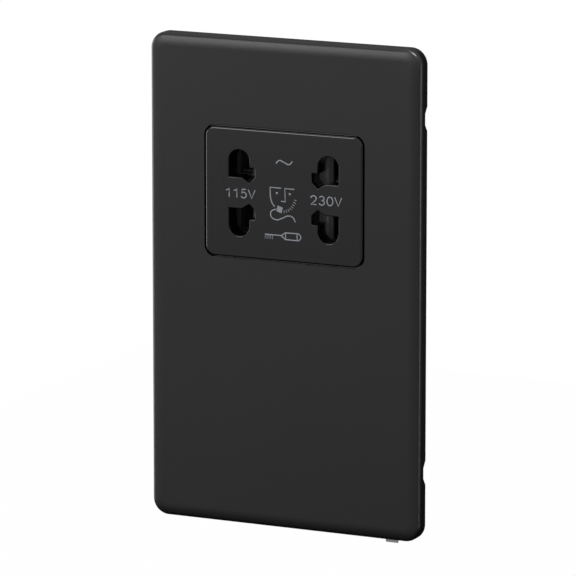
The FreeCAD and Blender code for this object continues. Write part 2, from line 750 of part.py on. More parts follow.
def winding(upper):
    """One of the two windings, wound on the bobbin's tube between two flanges."""
    low_z = core_low_z + core_yoke + bobbin_clearance + bobbin_flange
    high_z = core_top_z - core_yoke - bobbin_clearance - bobbin_flange
    middle_low = (low_z + high_z - bobbin_flange) / 2
    start, end = (middle_low + bobbin_flange, high_z) if upper else (low_z, middle_low)
    half_x = core_leg / 2 + window_width - bobbin_clearance - winding_inset
    half_y = core_stack / 2 + bobbin_overhang - winding_inset
    block = box(-half_x, half_x, core_centre_y - half_y, core_centre_y + half_y, start, end)
    upright = [edge for edge in block.Edges if abs(edge.tangentAt(edge.FirstParameter).z) > 0.99]
    block = block.makeFillet(winding_corner_r, upright)
    tube_x = core_leg / 2 + bobbin_clearance + bobbin_wall
    tube_y = core_stack / 2 + bobbin_clearance + bobbin_wall
    return block.cut(box(-tube_x, tube_x, core_centre_y - tube_y, core_centre_y + tube_y,
                         start - 1, end + 1))


def strap_screw_places():
    """The places of the two screws that hold the core strap to the housing floor."""
    x = core_width / 2 + strap_thickness - strap_foot / 2 - strap_thickness / 2
    z = (core_low_z + core_top_z) / 2
    return [(-x, z), (x, z)]


def core_strap():
    """The folded steel strap round the core, with lugs that reach the housing floor."""
    outer_x = core_width / 2 + strap_thickness
    y0 = core_centre_y - strap_width / 2
    y1 = core_centre_y + strap_width / 2
    strap = box(-outer_x, outer_x, y0, y1, core_low_z - strap_thickness, core_top_z + strap_thickness)
    strap = strap.cut(box(-core_width / 2, core_width / 2, y0 - 1, y1 + 1, core_low_z, core_top_z))
    strap = strap.cut(box(-core_width / 2 + strap_lip, core_width / 2 - strap_lip, y0 - 1, y1 + 1,
                          core_low_z - strap_thickness - 1, core_low_z + 1))
    middle_z = (core_low_z + core_top_z) / 2
    for side in (-1, 1):
        inner, outer = sorted((side * core_width / 2, side * outer_x))
        strap = strap.fuse(box(inner, outer, y1, lower_floor_y, middle_z - strap_lug / 2,
                               middle_z + strap_lug / 2))
        near, far = sorted((side * (outer_x - strap_foot), side * outer_x))
        strap = strap.fuse(box(near, far, lower_floor_y - strap_thickness, lower_floor_y,
                               middle_z - strap_lug / 2, middle_z + strap_lug / 2))
    for x, z in strap_screw_places():
        strap = strap.cut(along_y(strap_screw_r + screw_clearance, x, z,
                                  lower_floor_y - strap_thickness - 1, lower_floor_y + 1))
    return strap.removeSplitter()


def strap_screws():
    """The two screws that hold the strap, driven from behind the housing."""
    length = housing_wall + 2 * strap_thickness
    return Part.makeCompound([pan_screw(x, z, lower_depth, -1, strap_screw_r, length,
                                        strap_screw_head_r, strap_screw_head)
                              for x, z in strap_screw_places()])


def thermal_cutout():
    """The self-resetting overload cut-out that lies on the strap, with a tab at each end."""
    low_z = core_top_z + strap_thickness
    body = box(cutout_x - cutout_length / 2, cutout_x + cutout_length / 2,
               core_centre_y - cutout_depth / 2, core_centre_y + cutout_depth / 2,
               low_z, low_z + cutout_height)
    ends = [edge for edge in body.Edges if abs(edge.tangentAt(edge.FirstParameter).z) > 0.99]
    body = body.makeFillet(1.5, ends)
    middle_z = low_z + cutout_height / 2
    reach = cutout_length / 2 + cutout_tab_length
    tabs = box(cutout_x - reach, cutout_x + reach, core_centre_y - tail_width / 2,
               core_centre_y + tail_width / 2, middle_z - contact_thickness / 2,
               middle_z + contact_thickness / 2)
    return body.fuse(tabs).removeSplitter()


def terminal_places():
    """The X places of the live, earth and neutral terminals."""
    return [-terminal_pitch, 0.0, terminal_pitch]


def block_hook(side, clearance):
    """The leg of one snap hook that holds the terminal block to the housing's step."""
    reach = upper_floor_y - hook_thickness
    leg = centred_box(hook_thickness / 2 + clearance, reach, upper_depth,
                      hook_width / 2 + clearance, block_centre_z, side * hook_leg_x)
    toe_room = centred_box(hook_toe / 2 + clearance, upper_floor_y, upper_depth,
                           hook_width / 2 + clearance, block_centre_z,
                           side * (hook_leg_x + hook_thickness / 2 + hook_toe / 2))
    return leg.fuse(toe_room) if clearance else leg


def terminal_block():
    """The block on the housing's step, with wire entries on top and screws at the back."""
    rear_y = upper_depth + block_depth
    block = centred_box(block_length / 2, upper_depth, rear_y, block_height / 2, block_centre_z)
    block = block.fuse(centred_box(block_length / 2 + block_ear, upper_depth,
                                   upper_depth + block_ear_depth, block_ear / 2, block_centre_z))
    for x in terminal_places():
        block = block.cut(centred_box(terminal_width / 2 + terminal_clearance, terminal_y,
                                      rear_y - block_wall, terminal_height / 2 + terminal_clearance,
                                      block_centre_z, x))
        block = block.cut(along_y(terminal_screw_r + terminal_clearance, x, block_centre_z,
                                  rear_y - block_wall - 1, rear_y + 1))
        block = block.cut(cylinder(entry_r, (x, bore_y, block_centre_z), (0, 0, 1), block_height))
        block = block.cut(centred_box(tail_width / 2 + contact_clearance, upper_depth - 1,
                                      terminal_y + 1, contact_thickness / 2 + contact_clearance,
                                      block_centre_z, x))
    for x in (-terminal_pitch / 2, terminal_pitch / 2):
        block = block.cut(centred_box(divider_groove / 2, rear_y - divider_depth, rear_y + 1,
                                      block_height, block_centre_z, x))
    for side in (-1, 1):
        block = block.fuse(block_hook(side, 0))
        toe_x = side * (hook_leg_x + hook_thickness / 2 + hook_toe / 2)
        block = block.fuse(centred_box(hook_toe / 2, upper_floor_y - hook_thickness, upper_floor_y,
                                       hook_width / 2, block_centre_z, toe_x))
    return block.removeSplitter()


def terminal(x):
    """A brass pillar terminal with its wire bore, screw thread hole and tail."""
    pillar = centred_box(terminal_width / 2, terminal_y, terminal_y + terminal_depth,
                         terminal_height / 2, block_centre_z, x)
    tail = centred_box(tail_width / 2, upper_floor_y - tail_length / 2, terminal_y,
                       contact_thickness / 2, block_centre_z, x)
    pillar = pillar.fuse(tail)
    pillar = pillar.cut(cylinder(terminal_bore_r, (x, bore_y, block_centre_z - terminal_height),
                                 (0, 0, 1), 2 * terminal_height))
    return pillar.cut(along_y(terminal_screw_r + screw_clearance, x, block_centre_z, bore_y,
                              terminal_y + terminal_depth + 1))


def terminal_screws():
    """The clamp screws, wound back so that the bores are clear."""
    tip_y = bore_y + terminal_bore_r + terminal_clearance
    end_y = upper_depth + block_depth - terminal_clearance
    screws = []
    for x in terminal_places():
        screw = along_y(terminal_screw_r, x, block_centre_z, tip_y, end_y)
        slot = centred_box(terminal_screw_r + 1, end_y - terminal_slot_depth, end_y + 1,
                           terminal_slot / 2, block_centre_z, x)
        screws.append(screw.cut(slot))
    return Part.makeCompound(screws)


def housing_screws():
    """The four screws through the frame into the housing's corner posts."""
    length = housing_screw_length - frame_front_y - screw_clearance
    return Part.makeCompound([pan_screw(x, z, frame_front_y, 1, housing_screw_r, length,
                                        housing_screw_head_r, housing_screw_head)
                              for x, z in corner_posts()])


def earth_spring():
    """The leaf that earths the plate: flat under its rivet, then rising to the plate."""
    flat_y = frame_front_y - earth_leaf_thickness / 2
    touch_y = plate_inner_y + earth_contact_gap + earth_leaf_thickness / 2
    start_z = earth_leaf_z + earth_leaf_width / 2
    line = [(flat_y, start_z), (flat_y, earth_leaf_z - earth_leaf_width / 2),
            (touch_y, earth_leaf_z - earth_leaf_length * 0.7),
            (touch_y + earth_leaf_thickness * 2, earth_leaf_z - earth_leaf_length)]
    leaf = bent_strip(line, earth_leaf_thickness, -earth_leaf_width / 2, earth_leaf_width)
    return leaf.cut(along_y(earth_rivet_r + screw_clearance, 0, earth_leaf_z, flat_y - 1, flat_y + 1))


def earth_rivet():
    """The rivet that holds the leaf to the frame."""
    front_y = frame_front_y - earth_leaf_thickness
    shank = along_y(earth_rivet_r, 0, earth_leaf_z, front_y, frame_rear_y)
    front_head = along_y(earth_rivet_head_r, 0, earth_leaf_z, front_y - earth_rivet_head, front_y)
    return shank.fuse(front_head)


def build():
    """All the nodes by name."""
    nodes = {
        "front_plate": front_plate(),
        "socket_face": socket_face(),
        "mounting_frame": mounting_frame(),
        "wall_gasket": wall_gasket(),
        "earth_spring": earth_spring(),
        "earth_rivet": earth_rivet(),
        "shutter_slide": shutter_slide(),
        "spring_left": centring_spring(-1),
        "spring_right": centring_spring(1),
        "contact_carrier": contact_carrier(),
        "contact_115_upper": pin_contact(-1, 1),
        "contact_115_lower": pin_contact(-1, -1),
        "contact_230_upper": pin_contact(1, 1),
        "contact_230_lower": pin_contact(1, -1),
        "actuator_bar": actuator_bar(),
        "actuator_spring": actuator_spring(),
        "switch_button": switch_button(),
        "switch_body": switch_body(),
        "switch_tabs": switch_tabs(),
        "rear_housing": rear_housing(),
        "housing_screws": housing_screws(),
        "core_e": core_e(),
        "core_i": core_i(),
        "bobbin": bobbin(),
        "primary_winding": winding(False),
        "secondary_winding": winding(True),
        "core_strap": core_strap(),
        "strap_screws": strap_screws(),
        "thermal_cutout": thermal_cutout(),
        "terminal_block": terminal_block(),
        "terminal_screws": terminal_screws(),
    }
    for name, x in zip(("live_terminal", "earth_terminal", "neutral_terminal"), terminal_places()):
        nodes[name] = terminal(x)
    return nodes


os.makedirs("parts", exist_ok=True)
for node_name, node_shape in build().items():
    solids = node_shape.Solids
    print(node_name, "solids", len(solids), "valid", node_shape.isValid(),
          "volume", round(node_shape.Volume, 2))
    kept = solids[0] if len(solids) == 1 else Part.makeCompound(solids)
    kept.exportStep("parts/" + node_name + ".step")
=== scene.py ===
"""Looks of a two-gang dual-voltage shaver socket: finishes, print, studio and camera.

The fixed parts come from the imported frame. Lengths are in metres, with X to the right,
Y into the wall and Z up. The print and the finely rounded shells are added here.
"""
import json
import logging
import math
from collections.abc import Callable, Iterator, Sequence
from contextlib import contextmanager
from dataclasses import dataclass, field
from enum import Enum
from typing import Any, Protocol

import bmesh
import bpy
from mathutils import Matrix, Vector

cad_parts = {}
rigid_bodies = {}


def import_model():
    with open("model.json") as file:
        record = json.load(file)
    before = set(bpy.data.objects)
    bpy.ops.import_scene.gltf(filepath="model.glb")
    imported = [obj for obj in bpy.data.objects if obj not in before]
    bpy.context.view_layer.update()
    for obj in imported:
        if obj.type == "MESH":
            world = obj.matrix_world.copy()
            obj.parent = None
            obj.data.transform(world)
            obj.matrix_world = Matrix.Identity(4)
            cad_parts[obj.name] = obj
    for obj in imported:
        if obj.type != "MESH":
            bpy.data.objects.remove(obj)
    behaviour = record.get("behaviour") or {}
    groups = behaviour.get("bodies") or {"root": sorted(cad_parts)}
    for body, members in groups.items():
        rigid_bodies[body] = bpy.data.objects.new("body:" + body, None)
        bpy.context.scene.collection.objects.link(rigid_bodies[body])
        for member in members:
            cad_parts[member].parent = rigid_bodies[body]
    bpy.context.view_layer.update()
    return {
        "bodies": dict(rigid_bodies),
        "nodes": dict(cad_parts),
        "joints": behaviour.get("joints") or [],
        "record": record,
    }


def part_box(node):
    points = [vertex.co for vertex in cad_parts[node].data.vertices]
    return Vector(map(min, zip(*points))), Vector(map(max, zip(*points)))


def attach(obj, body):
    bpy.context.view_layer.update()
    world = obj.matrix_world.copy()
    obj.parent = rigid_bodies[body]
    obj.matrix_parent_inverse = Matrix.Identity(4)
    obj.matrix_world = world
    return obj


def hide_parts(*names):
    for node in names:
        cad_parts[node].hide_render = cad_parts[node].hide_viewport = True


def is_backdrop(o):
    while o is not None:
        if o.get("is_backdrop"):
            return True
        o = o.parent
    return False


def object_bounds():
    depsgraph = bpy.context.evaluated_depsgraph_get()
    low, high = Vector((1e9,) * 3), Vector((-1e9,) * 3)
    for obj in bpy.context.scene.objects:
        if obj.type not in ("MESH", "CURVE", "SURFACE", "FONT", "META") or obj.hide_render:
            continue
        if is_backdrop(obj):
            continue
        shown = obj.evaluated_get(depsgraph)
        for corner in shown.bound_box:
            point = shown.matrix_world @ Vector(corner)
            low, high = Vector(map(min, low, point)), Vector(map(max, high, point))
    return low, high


LOG = logging.getLogger("shaver_socket")
MM = 0.001
BASE_BODY = "base"
# How far the insert's flange reaches under the cover plate.
FLANGE_LAP = 2.5 * MM
# How near a point must be to a plane to lie in it, and to another point to be one with it.
LEVEL_TOLERANCE = 0.002 * MM
MERGE_DISTANCE = 0.001 * MM
# Faces that meet at less than the first angle are one face, and at less than the second shade as one.
FLAT_ANGLE = math.radians(0.6)
SMOOTH_ANGLE = math.radians(50)
# The cosine above which an edge runs along an axis.
PARALLEL = 0.99
WHITE = (1.0, 1.0, 1.0, 1.0)
Colour = tuple[float, float, float]
Place = tuple[float, float, float]
Point = tuple[float, float]


class Element(Enum):
    """The kinds of mesh element that a test can pick."""

    FACE = "faces"
    EDGE = "edges"


class Voltage(Enum):
    """The two columns of pin apertures, with the print beside each."""

    LOW = "115V"
    HIGH = "230V"


# Shader expressions


class Flow:
    """A shader socket that adds maths nodes when it stands in an expression."""

    def __init__(self, recipe: "Recipe", socket: bpy.types.NodeSocket) -> None:
        """Wraps a socket.

        Args:
            recipe: The material that the socket belongs to.
            socket: The output socket to read.
        """
        self.recipe = recipe
        self.socket = socket

    def _maths(self, operation: str, first: Any, second: Any) -> "Flow":
        """Adds one maths node.

        Args:
            operation: The node's operation.
            first: The value or flow of its first socket.
            second: The value or flow of its second socket.

        Returns:
            The node's result.
        """
        return self.recipe.node("ShaderNodeMath", {"operation": operation}, {0: first, 1: second})

    def __add__(self, other: Any) -> "Flow":
        """This flow plus another."""
        return self._maths("ADD", self, other)

    def __mul__(self, other: Any) -> "Flow":
        """This flow times another."""
        return self._maths("MULTIPLY", self, other)

    def __pow__(self, other: Any) -> "Flow":
        """This flow to a power."""
        return self._maths("POWER", self, other)


class Recipe:
    """A material whose nodes are added by one method."""

    def __init__(self, name: str) -> None:
        """Starts an empty material with its output and main shader.

        Args:
            name: The finish's name.
        """
        self.material = bpy.data.materials.new(name)
        self.material.use_nodes = True
        self.tree = self.material.node_tree
        self.tree.nodes.clear()
        self.output = self.tree.nodes.new("ShaderNodeOutputMaterial")
        self.shader = self.tree.nodes.new("ShaderNodeBsdfPrincipled")
        self.tree.links.new(self.shader.outputs["BSDF"], self.output.inputs["Surface"])

    def node(self, kind: str, settings: dict[str, Any] | None = None,
             inputs: dict[int | str, Any] | None = None, result: int | str = 0) -> Flow:
        """Adds a node.

        Args:
            kind: The node's type.
            settings: Its own settings, set before its sockets.
            inputs: Values or flows for its sockets, by name or number.
            result: The output socket to return.

        Returns:
            The flow of that output.
        """
        added = self.tree.nodes.new(kind)
        for key, value in (settings or {}).items():
            setattr(added, key, value)
        for key, value in (inputs or {}).items():
            self.feed(added.inputs[key], value)
        return Flow(self, added.outputs[result])

    def feed(self, socket: bpy.types.NodeSocket, value: Any) -> None:
        """Links a flow to a socket, or sets its value."""
        if isinstance(value, Flow):
            self.tree.links.new(value.socket, socket)
        else:
            socket.default_value = value

    def place(self) -> Flow:
        """The surface point in the object's own frame."""
        return self.node("ShaderNodeTexCoord", result="Object")

    def axis(self, letter: str) -> Flow:
        """One coordinate of the surface point."""
        return self.node("ShaderNodeSeparateXYZ", inputs={0: self.place()}, result=letter)

    def stretched(self, scale: Sequence[float]) -> Flow:
        """The surface point scaled along each axis."""
        return self.node("ShaderNodeMapping", inputs={"Vector": self.place(), "Scale": tuple(scale)})

    def noise(self, per_metre: float, detail: float = 3.0, where: Flow | None = None) -> Flow:
        """A cloud pattern.

        Args:
            per_metre: How many clouds there are in a metre.
            detail: The number of finer layers.
            where: The point to read, or none for the surface point.

        Returns:
            The pattern's value, from 0 to 1.
        """
        return self.node("ShaderNodeTexNoise", {"noise_dimensions": "3D"},
                         {"Vector": where or self.place(), "Scale": per_metre, "Detail": detail}, "Fac")

    def ramp(self, value: Flow, low: float, high: float) -> Flow:
        """A value from 0 to 1 turned into one between two others."""
        return self.node("ShaderNodeMapRange", inputs={"Value": value, "To Min": low, "To Max": high})

    def between(self, share: Any, first: Colour, second: Colour) -> Flow:
        """A colour between two others."""
        return self.node("ShaderNodeMix", {"data_type": "RGBA"},
                         {0: share, 6: (*first, 1.0), 7: (*second, 1.0)}, 2)

    def relief(self, height: Flow, depth: float) -> None:
        """Feeds a height pattern, with the depth of its full range, to the shader's normal."""
        bump = self.node("ShaderNodeBump", inputs={"Height": height, "Distance": depth})
        self.feed(self.shader.inputs["Normal"], bump)

    def set(self, **values: Any) -> None:
        """Sets the main shader's sockets, with underscores for the spaces in their names."""
        for key, value in values.items():
            self.feed(self.shader.inputs[key.replace("_", " ")], value)


# Finishes


class Finish(Protocol):
    """What every finish can do."""

    def make(self) -> bpy.types.Material:
        """Builds the material."""


@dataclass(frozen=True)
class PowderCoat:
    """The matt black powder coat of the metal plate."""

    name: str = "matt_black_powder_coat"
    colour: Colour = (0.0038, 0.0038, 0.0039)
    worn: Colour = (0.005, 0.005, 0.0051)
    roughness: tuple[float, float] = (0.30, 0.36)
    specular: float = 0.31
    grain_per_metre: float = 5200.0
    grain_depth: float = 0.0035 * MM
    patches_per_metre: float = 22.0

    def make(self) -> bpy.types.Material:
        """Builds the material."""
        recipe = Recipe(self.name)
        grain = recipe.noise(self.grain_per_metre, 2.0)
        broad = recipe.noise(self.patches_per_metre, 2.0)
        recipe.set(Base_Color=recipe.between(grain, self.colour, self.worn),
                   Roughness=recipe.ramp(broad * 0.7 + grain * 0.3, *self.roughness),
                   Specular_IOR_Level=self.specular)
        recipe.relief(grain + recipe.noise(self.grain_per_metre / 3, 1.0) * 0.8, self.grain_depth)
        return recipe.material


@dataclass(frozen=True)
class Moulding:
    """A moulded plastic, from gloss to a fine grain."""

    name: str
    colour: Colour
    roughness: tuple[float, float] = (0.38, 0.5)
    specular: float = 0.45
    grain_per_metre: float = 3000.0
    grain_depth: float = 0.006 * MM
    paler_share: float = 0.12
    patches_per_metre: float = 60.0

    def make(self) -> bpy.types.Material:
        """Builds the material."""
        recipe = Recipe(self.name)
        grain = recipe.noise(self.grain_per_metre, 3.0)
        broad = recipe.noise(self.patches_per_metre, 2.0)
        paler = tuple(min(1.0, c * (1 + self.paler_share)) for c in self.colour)
        recipe.set(Base_Color=recipe.between(broad, self.colour, paler),
                   Roughness=recipe.ramp(broad * 0.6 + grain * 0.4, *self.roughness),
                   Specular_IOR_Level=self.specular)
        recipe.relief(grain, self.grain_depth)
        return recipe.material


@dataclass(frozen=True)
class Metal:
    """A bare or plated metal with fine drawing lines."""

    name: str
    colour: Colour
    tarnish: Colour
    roughness: tuple[float, float] = (0.24, 0.4)
    stretch: tuple[float, float, float] = (300.0, 9000.0, 9000.0)
    line_depth: float = 0.002 * MM
    spots_per_metre: float = 420.0

    def make(self) -> bpy.types.Material:
        """Builds the material."""
        recipe = Recipe(self.name)
        lines = recipe.noise(1.0, 3.0, recipe.stretched(self.stretch))
        spots = recipe.noise(self.spots_per_metre, 4.0)
        recipe.set(Base_Color=recipe.between(spots, self.colour, self.tarnish),
                   Roughness=recipe.ramp(lines * 0.5 + spots * 0.5, *self.roughness), Metallic=1.0)
        recipe.relief(lines, self.line_depth)
        return recipe.material


@dataclass(frozen=True)
class Laminations:
    """Thin steel sheets stacked into the depth of the transformer core."""

    name: str = "stacked_core_sheets"
    colour: Colour = (0.16, 0.165, 0.18)
    joint: Colour = (0.05, 0.04, 0.035)
    sheet: float = 0.5 * MM
    joint_depth: float = 0.06 * MM
    stains_per_metre: float = 900.0

    def make(self) -> bpy.types.Material:
        """Builds the material."""
        recipe = Recipe(self.name)
        wave = recipe.node("ShaderNodeMath", {"operation": "SINE"},
                           {0: recipe.axis("Y") * (2 * math.pi / self.sheet)})
        crest = (wave * 0.5 + 0.5) ** 0.4
        recipe.set(Base_Color=recipe.between(crest, self.joint, self.colour), Metallic=0.8,
                   Roughness=recipe.ramp(recipe.noise(self.stains_per_metre), 0.35, 0.55))
        recipe.relief(crest, self.joint_depth)
        return recipe.material


@dataclass(frozen=True)
class Winding:
    """Enamelled copper wire wound in even turns round the bobbin, with painted shade in the grooves between
    turns.
    """

    name: str = "enamelled_copper_wire"
    colour: Colour = (0.40, 0.11, 0.03)
    # The colour painted into the grooves between turns, as painted shade.
    shade: Colour = (0.09, 0.02, 0.008)
    wire: float = 0.32 * MM
    waves_per_metre: float = 300.0

    def make(self) -> bpy.types.Material:
        """Builds the material."""
        recipe = Recipe(self.name)
        wander = recipe.noise(self.waves_per_metre, 2.0) * (self.wire * 0.6)
        wave = recipe.node("ShaderNodeMath", {"operation": "SINE"},
                           {0: (recipe.axis("Z") + wander) * (2 * math.pi / self.wire)})
        crest = wave * 0.5 + 0.5
        # The crowns of the turns take the copper colour, and the grooves take the painted shade.
        recipe.set(Base_Color=recipe.between(crest ** 0.5, self.shade, self.colour), Metallic=0.7,
                   Roughness=0.3, Coat_Weight=0.6)
        recipe.relief(crest, self.wire / 3)
        return recipe.material


@dataclass(frozen=True)
class FoamSeal:
    """The pale grey foam of the wall seal, with painted shade in its pits."""

    name: str = "closed_cell_seal"
    colour: Colour = (0.52, 0.53, 0.54)
    # The colour painted into the middles of the pits, as painted shade.
    pore_shade: Colour = (0.30, 0.31, 0.32)
    pores_per_metre: float = 4200.0
    pore_depth: float = 0.04 * MM
    patches_per_metre: float = 800.0

    def make(self) -> bpy.types.Material:
        """Builds the material."""
        recipe = Recipe(self.name)
        pores = recipe.node("ShaderNodeTexVoronoi", {"feature": "F1"},
                            {"Vector": recipe.place(), "Scale": self.pores_per_metre}, "Distance")
        # Each pit is painted darker towards its middle, as painted shade.
        recipe.set(Base_Color=recipe.between(pores, self.pore_shade, self.colour),
                   Roughness=recipe.ramp(recipe.noise(self.patches_per_metre), 0.6, 0.85),
                   Specular_IOR_Level=0.3)
        recipe.relief(pores, self.pore_depth)
        return recipe.material


@dataclass(frozen=True)
class PadInk:
    """The grey ink printed on the insert."""

    name: str = "grey_pad_print"
    colour: Colour = (0.32, 0.34, 0.37)
    thin: Colour = (0.27, 0.29, 0.32)
    grain_per_metre: float = 2600.0
    grain_depth: float = 0.003 * MM

    def make(self) -> bpy.types.Material:
        """Builds the material."""
        recipe = Recipe(self.name)
        cover = recipe.noise(self.grain_per_metre, 3.0)
        recipe.set(Base_Color=recipe.between(cover, self.thin, self.colour),
                   Roughness=recipe.ramp(cover, 0.45, 0.6), Specular_IOR_Level=0.2)
        recipe.relief(cover, self.grain_depth)
        return recipe.material


# Hand modelling


def alone(piece: bpy.types.Object) -> None:
    """Leaves one object selected and active."""
    bpy.ops.object.select_all(action="DESELECT")
    piece.select_set(True)
    bpy.context.view_layer.objects.active = piece


@contextmanager
def shaping(piece: bpy.types.Object) -> Iterator[bpy.types.Object]:
    """Opens a piece in edit mode with nothing selected, and closes it at the end."""
    alone(piece)
    bpy.ops.object.mode_set(mode="EDIT")
    bpy.ops.mesh.select_mode(type="VERT")
    bpy.ops.mesh.select_all(action="DESELECT")
    yield piece
    bpy.ops.object.mode_set(mode="OBJECT")


def pick(kind: Element, test: Callable[[Any], bool]) -> int:
    """Selects what passes a test in the piece that is open in edit mode.

    Args:
        kind: Whether faces or edges are tested.
        test: Says whether one of them is wanted.

    Returns:
        How many were selected.
    """
    bpy.ops.mesh.select_mode(type=kind.name)
    mesh = bmesh.from_edit_mesh(bpy.context.edit_object.data)
    chosen = [element for element in getattr(mesh, kind.value) if test(element)]
    for element in chosen:
        element.select_set(True)
    bmesh.update_edit_mesh(bpy.context.edit_object.data)
    return len(chosen)


def level(element: Any, y: float) -> bool:
    """Whether all of a face or an edge lies at one depth."""
    return all(abs(vertex.co.y - y) < LEVEL_TOLERANCE for vertex in element.verts)


def along_y(edge: Any) -> bool:
    """Whether an edge runs along Y."""
    first, last = edge.verts
    return abs((first.co - last.co).normalized().y) > PARALLEL


def apply_modifier(piece: bpy.types.Object, kind: str, **settings: Any) -> None:
    """Adds a modifier with its settings and applies it."""
    alone(piece)
    modifier = piece.modifiers.new(kind.lower(), kind)
    for key, value in settings.items():
        setattr(modifier, key, value)
    bpy.ops.object.modifier_apply(modifier=modifier.name)


def block(name: str, low: Vector, high: Vector) -> bpy.types.Object:
    """A box between two corners, at its size and place, with its object at the origin.

    Args:
        name: The piece's name.
        low: The lowest corner.
        high: The highest corner.

    Returns:
        The new object.
    """
    bpy.ops.object.select_all(action="DESELECT")
    bpy.ops.mesh.primitive_cube_add(size=1.0, location=(low + high) / 2)
    piece = bpy.context.object
    piece.name = name
    piece.scale = high - low
    bpy.ops.object.transform_apply(location=True, rotation=True, scale=True)
    return piece


def rounded_slab(name: str, low: Vector, high: Vector, corner: float, steps: int) -> bpy.types.Object:
    """A box whose four edges along Y are rounded."""
    piece = block(name, low, high)
    with shaping(piece):
        pick(Element.EDGE, along_y)
        bpy.ops.mesh.bevel(offset=corner, segments=steps, affect="EDGES", clamp_overlap=False)
    return piece


def carve(piece: bpy.types.Object, tool: bpy.types.Object) -> None:
    """Cuts one piece with another, which is then gone."""
    apply_modifier(piece, "BOOLEAN", operation="DIFFERENCE", solver="EXACT", object=tool)
    bpy.data.objects.remove(tool)


def soften(piece: bpy.types.Object, width: float, angle: float = 30.0) -> None:
    """Rounds the sharp edges of a piece and lets its faces shade by their size.

    Args:
        piece: The piece to finish.
        width: The width of the rounding.
        angle: The angle in degrees above which an edge is sharp.
    """
    apply_modifier(piece, "BEVEL", width=width, segments=2, limit_method="ANGLE",
                   angle_limit=math.radians(angle), use_clamp_overlap=True, harden_normals=False)
    bpy.ops.object.shade_smooth_by_angle(angle=SMOOTH_ANGLE)
    apply_modifier(piece, "WEIGHTED_NORMAL", keep_sharp=True, weight=60)


def paint(piece: bpy.types.Object, material: bpy.types.Material) -> None:
    """Gives a piece one material all over."""
    piece.data.materials.clear()
    piece.data.materials.append(material)


def seat(piece: bpy.types.Object, nodes: Sequence[str] = ()) -> None:
    """Lets a piece ride on the base and stand for the fixed nodes, which it hides."""
    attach(piece, BASE_BODY)
    if nodes:
        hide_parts(*nodes)
    LOG.info("piece %s rides on %s", piece.name, BASE_BODY)


def finer_copy(node: bpy.types.Object, name: str) -> bpy.types.Object:
    """A copy of a fixed node with its loose triangles merged into whole faces.

    Args:
        node: The node that is copied.
        name: The new piece's name.

    Returns:
        The new piece.
    """
    piece = bpy.data.objects.new(name, node.data.copy())
    bpy.context.scene.collection.objects.link(piece)
    with shaping(piece):
        bpy.ops.mesh.select_all(action="SELECT")
        bpy.ops.mesh.remove_doubles(threshold=MERGE_DISTANCE)
        bpy.ops.mesh.select_all(action="SELECT")
        bpy.ops.mesh.dissolve_limited(angle_limit=FLAT_ANGLE)
    if "custom_normal" in piece.data.attributes:
        piece.data.attributes.remove(piece.data.attributes["custom_normal"])
    return piece


def joined(pieces: Sequence[bpy.types.Object], name: str) -> bpy.types.Object:
    """Joins pieces into one under a new name."""
    alone(pieces[0])
    for piece in pieces:
        piece.select_set(True)
    bpy.ops.object.join()
    whole = bpy.context.object
    whole.name = name
    return whole


# Lettering


def arc(centre: Point, radii: Point, start: float, end: float, steps: int) -> list[Point]:
    """Points on a stretch of an ellipse.

    Args:
        centre: Its middle.
        radii: Its half width and half height.
        start: The first angle, in degrees.
        end: The last angle, in degrees.
        steps: How many parts the stretch has.

    Returns:
        The points in order.
    """
    angles = [math.radians(start + (end - start) * i / steps) for i in range(steps + 1)]
    return [(centre[0] + radii[0] * math.cos(a), centre[1] + radii[1] * math.sin(a)) for a in angles]


STROKES: dict[str, list[list[Point]]] = {
    "0": [arc((0.32, 0.5), (0.32, 0.5), 90, 450, 28)],
    "1": [[(0.06, 0.76), (0.28, 0.82), (0.42, 1.0), (0.42, 0.0)]],
    "2": [arc((0.32, 0.70), (0.30, 0.30), 172, -38, 14) + [(0.04, 0.0), (0.64, 0.0)]],
    "3": [arc((0.31, 0.76), (0.26, 0.24), 165, -90, 14) + arc((0.31, 0.27), (0.31, 0.27), 88, -165, 16)],
    "5": [[(0.58, 1.0), (0.17, 1.0), (0.08, 0.50)] + arc((0.31, 0.33), (0.31, 0.33), 132, -155, 18)],
    "V": [[(0.0, 1.0), (0.38, 0.0), (0.76, 1.0)]],
    "L": [[(0.0, 1.0), (0.0, 0.0), (0.55, 0.0)]],
    "N": [[(0.0, 0.0), (0.0, 1.0), (0.62, 0.0), (0.62, 1.0)]],
}
ADVANCES: dict[str, float] = {
    "0": 0.86, "1": 0.86, "2": 0.92, "3": 0.90, "5": 0.84, "V": 0.86, "L": 0.8, "N": 0.9,
}
LAST_WIDTHS: dict[str, float] = {"V": 0.76, "L": 0.55, "N": 0.62}


